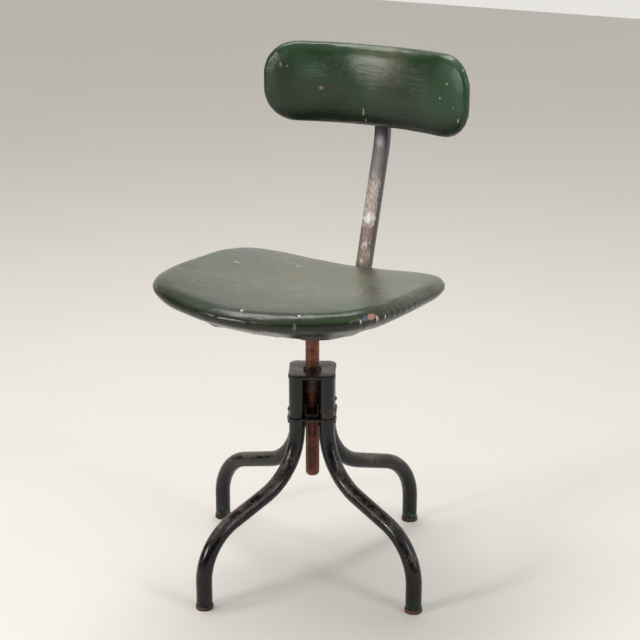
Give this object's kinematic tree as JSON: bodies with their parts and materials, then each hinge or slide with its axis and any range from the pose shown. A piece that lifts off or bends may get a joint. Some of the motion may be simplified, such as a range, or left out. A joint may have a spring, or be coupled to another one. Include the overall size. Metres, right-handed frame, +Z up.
{
  "type": "swivel work chair",
  "caption": "Screw-spindle swivel work chair with a padded saddle seat, a flat-bar adjustable backrest and bent tube legs.",
  "frame": {"origin": "On the floor, on the spindle's axis, midway between the four feet", "axes": "+Z up along the spindle, -Y the way the sitter faces, +X to the sitter's left"},
  "size_m": [0.4634, 0.5039, 0.823],
  "materials": {
    "black_paint": "gloss black paint, worn",
    "worn_black_paint": "black paint worn to bare steel on its edges",
    "rusty_steel": "even brown rust",
    "foot_ferrule": "rusty steel with flecks of paint",
    "worn_steel": "dull steel, rubbed",
    "tack_steel": "dull steel",
    "green_leathercloth": "dark green leathercloth, semi-gloss, creased",
    "stuffing": "matted fibre",
    "plywood": "bare plywood"
  },
  "bodies": {
    "base": {"leg_front": "black_paint", "leg_left": "black_paint", "leg_rear": "black_paint", "leg_right": "black_paint", "foot_front": "foot_ferrule", "foot_left": "foot_ferrule", "foot_rear": "foot_ferrule", "foot_right": "foot_ferrule", "head_plate": "black_paint", "spindle_nut": "rusty_steel", "guide_plate": "black_paint", "guide_brackets": "black_paint", "side_plates": "black_paint", "column_rivets": "worn_steel"},
    "turn_ring": {"thrust_washer": "rusty_steel"},
    "seat": {"spindle": "rusty_steel", "spindle_pin": "worn_steel", "seat_flange": "black_paint", "flange_screws": "worn_steel", "seat_board": "plywood", "seat_padding": "stuffing", "seat_cover": "green_leathercloth", "seat_tacks": "tack_steel", "bar_guide": "black_paint", "guide_screws": "worn_steel"},
    "bar_clamp": {"bar_clamp_screw": "worn_steel"},
    "back_bar": {"back_bar": "worn_black_paint"},
    "carrier": {"back_carrier": "black_paint", "pivot_pins": "worn_steel"},
    "carrier_clamp": {"carrier_screw": "worn_steel"},
    "backrest": {"pivot_bracket": "black_paint", "bracket_screws": "worn_steel", "back_board": "plywood", "back_padding": "stuffing", "back_cover": "green_leathercloth", "back_tacks": "tack_steel"}
  },
  "joints": [
    {"name": "seat_turn", "type": "hinge", "parent": "base", "child": "turn_ring", "pos_m": [0, 0, 0.344], "axis": [0, 0, 1], "range_deg": [-3540, 5850]},
    {"name": "spindle_lift", "type": "slide", "parent": "turn_ring", "child": "seat", "axis": [0, 0, 1], "range_m": [-0.0505, 0.083]},
    {"name": "bar_depth", "type": "slide", "parent": "seat", "child": "back_bar", "axis": [0, 0.9968, -0.0802], "range_m": [-0.012, 0.02]},
    {"name": "bar_clamp_turn", "type": "hinge", "parent": "seat", "child": "bar_clamp", "pos_m": [0, 0.05419, 0.40287], "axis": [0, 0.0802, 0.9968], "range_deg": [0, 720]},
    {"name": "back_height", "type": "slide", "parent": "back_bar", "child": "carrier", "axis": [0, 0, 1], "range_m": [-0.03, 0.024]},
    {"name": "carrier_clamp_turn", "type": "hinge", "parent": "carrier", "child": "carrier_clamp", "pos_m": [0.02, 0.2465, 0.741], "axis": [1, 0, 0], "range_deg": [0, 720]},
    {"name": "back_tilt", "type": "hinge", "parent": "carrier", "child": "backrest", "pos_m": [0, 0.2465, 0.756], "axis": [1, 0, 0], "range_deg": [-7, 7]}
  ],
  "couplings": [
    {"joint": "spindle_lift", "follows": "seat_turn", "m_per_rad": 0.00080851}
  ]
}
